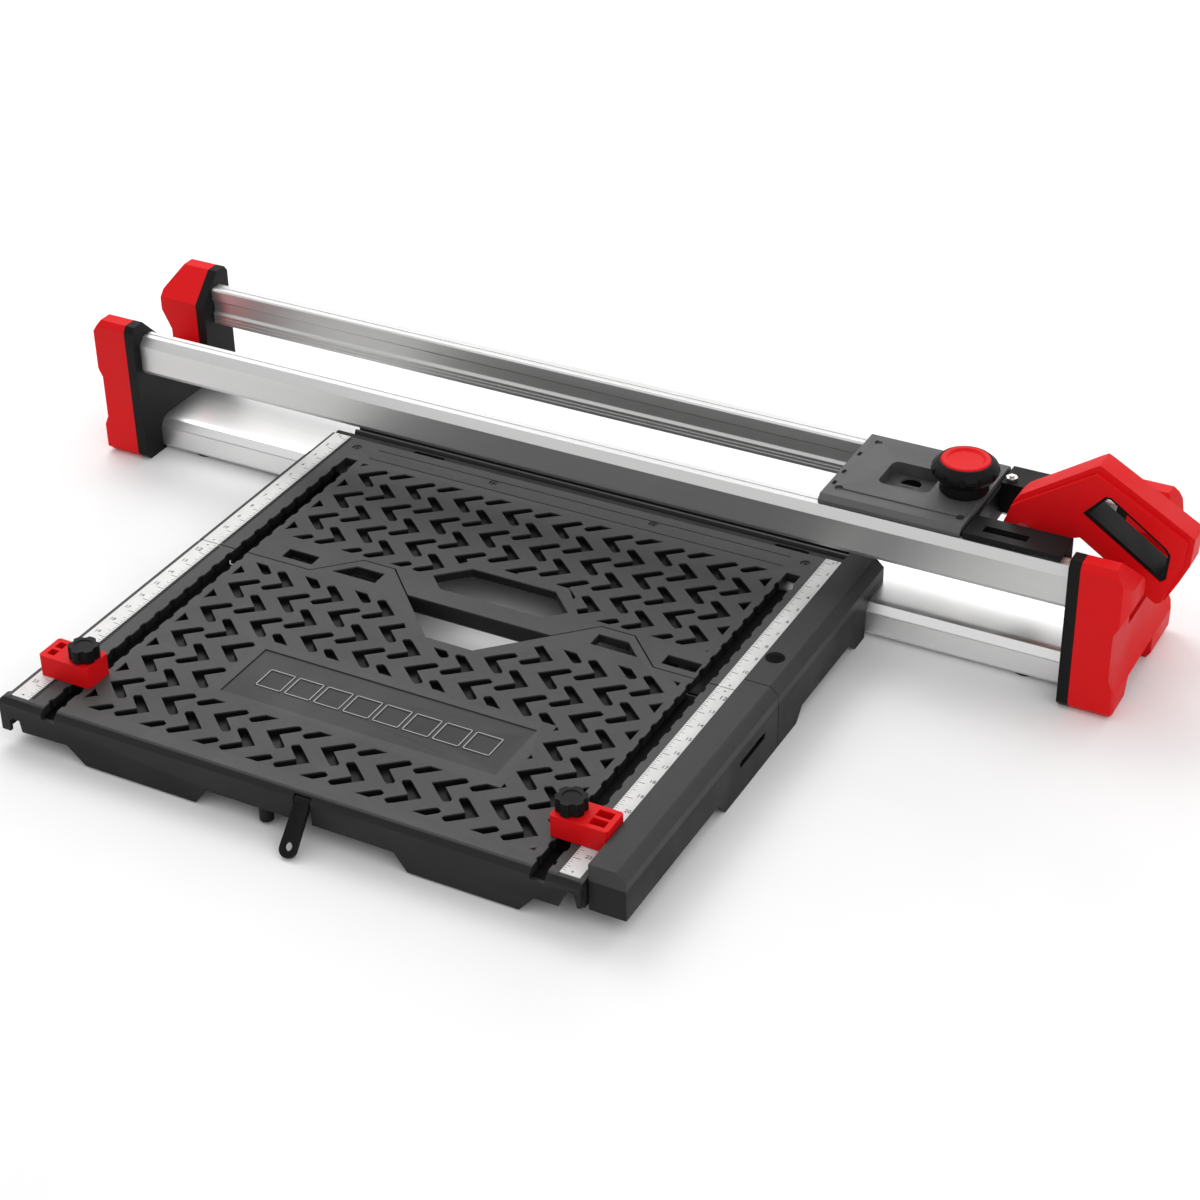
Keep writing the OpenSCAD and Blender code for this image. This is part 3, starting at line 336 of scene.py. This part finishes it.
def rack_teeth(deck, scale, body):
    """Fine rack beside the left scale: a row of small raised teeth."""
    lo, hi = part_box(scale)
    z = lo.z + 0.0009
    bm = bmesh.new()
    y = lo.y + 0.004
    while y < hi.y - 0.004:
        add_block(bm, (hi.x + RACK_X[0], y, z - 0.0003), (hi.x + RACK_X[1], y + RACK_TOOTH, z + 0.0006))
        y += RACK_PITCH
    add_piece(deck + "_rack", bm, body, "black_plastic", None, 0.00015)


rack_teeth("front_deck", "front_left_scale", "front_table")
rack_teeth("rear_deck", "rear_left_scale", "frame")

# Light outlines on top of the eight relief squares in the recess
SQUARES = 8
SQUARE = 0.030
SQUARE_PITCH = 0.034
LINE = 0.0013
LINE_INSET = 0.0002
plo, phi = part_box("name_panel")
bm = bmesh.new()
for i in range(SQUARES):
    ax = plo.x + 0.0247 + i * SQUARE_PITCH
    ay = plo.y + 0.0237
    for a, b in (((0, 0), (SQUARE, LINE)), ((0, SQUARE - LINE), (SQUARE, SQUARE)),
                 ((0, 0), (LINE, SQUARE)), ((SQUARE - LINE, 0), (SQUARE, SQUARE))):
        add_block(bm, (ax + a[0] + LINE_INSET, ay + a[1] + LINE_INSET, phi.z - 0.0001),
                  (ax + b[0] - LINE_INSET, ay + b[1] - LINE_INSET, phi.z + 0.00012))
add_piece("panel_outline", bm, "front_table", "scale_metal", "relief_grey")


# ---------------------------------------------------------------- floor, light and camera

FLOOR_HALF = 24
FLOOR_DROP = 0.0002
WORLD_STRENGTH = 0.95
bm = bmesh.new()
bmesh.ops.create_grid(bm, x_segments=8, y_segments=8, size=FLOOR_HALF)
me = bpy.data.meshes.new("floor")
bm.to_mesh(me)
bm.free()
floor = bpy.data.objects.new("floor", me)
scene.collection.objects.link(floor)
floor.data.materials.append(MAT["floor_pale"])
floor.location.z = -FLOOR_DROP

world = bpy.data.worlds.new("studio")
scene.world = world
world.use_nodes = True
wnt = world.node_tree
wnt.nodes.clear()
wout = wnt.nodes.new("ShaderNodeOutputWorld")
bg = wnt.nodes.new("ShaderNodeBackground")
bg.inputs["Strength"].default_value = WORLD_STRENGTH
grad_tc = wnt.nodes.new("ShaderNodeTexCoord")
sep = wnt.nodes.new("ShaderNodeSeparateXYZ")
cr = wnt.nodes.new("ShaderNodeValToRGB")
cr.color_ramp.elements[0].position = 0.0
cr.color_ramp.elements[0].color = (0.42, 0.42, 0.43, 1)
cr.color_ramp.elements[1].position = 0.75
cr.color_ramp.elements[1].color = (1.0, 1.0, 1.0, 1)
wnt.links.new(grad_tc.outputs["Generated"], sep.inputs[0])
wnt.links.new(sep.outputs["Z"], cr.inputs[0])
wnt.links.new(cr.outputs[0], bg.inputs["Color"])
wnt.links.new(bg.outputs[0], wout.inputs[0])


def area(name, loc, target, size, power):
    li = bpy.data.lights.new(name, "AREA")
    li.shape = "RECTANGLE"
    li.size, li.size_y = size
    li.energy = power
    o = bpy.data.objects.new(name, li)
    scene.collection.objects.link(o)
    o.location = loc
    o.rotation_euler = (Vector(target) - Vector(loc)).to_track_quat("-Z", "Y").to_euler()


area("key", (-1.6, 1.2, 2.4), (0, 0, 0), (1.8, 1.8), 34)
area("fill", (2.2, -1.6, 1.8), (0, 0, 0), (2.0, 1.6), 14)
area("back", (0.4, 2.6, 1.3), (0, 0.2, 0.1), (2.6, 1.0), 18)

SENSOR_MM = 36
LENS_MM = 78.73
CAMERA_AT = (1.1665, -1.9291, 1.5297)
CAMERA_RIGHT = (0.8839, 0.4674, -0.0151)
CAMERA_BACK = (0.3999, -0.7389, 0.5423)

cam_data = bpy.data.cameras.new("photo_camera")
cam_data.sensor_width = SENSOR_MM
cam_data.lens = LENS_MM
cam_data.clip_start = 0.05
cam_data.clip_end = 50
cam = bpy.data.objects.new("photo_camera", cam_data)
scene.collection.objects.link(cam)
right = Vector(CAMERA_RIGHT).normalized()
back = Vector(CAMERA_BACK).normalized()
up = back.cross(right).normalized()
right = up.cross(back).normalized()
pose = Matrix.Identity(4)
for i, v in enumerate((right, up, back)):
    pose[0][i], pose[1][i], pose[2][i] = v
pose.translation = Vector(CAMERA_AT)
cam.matrix_world = pose
scene.camera = cam
scene.view_settings.view_transform = "Standard"
scene.view_settings.look = "None"
scene.view_settings.exposure = 0.0
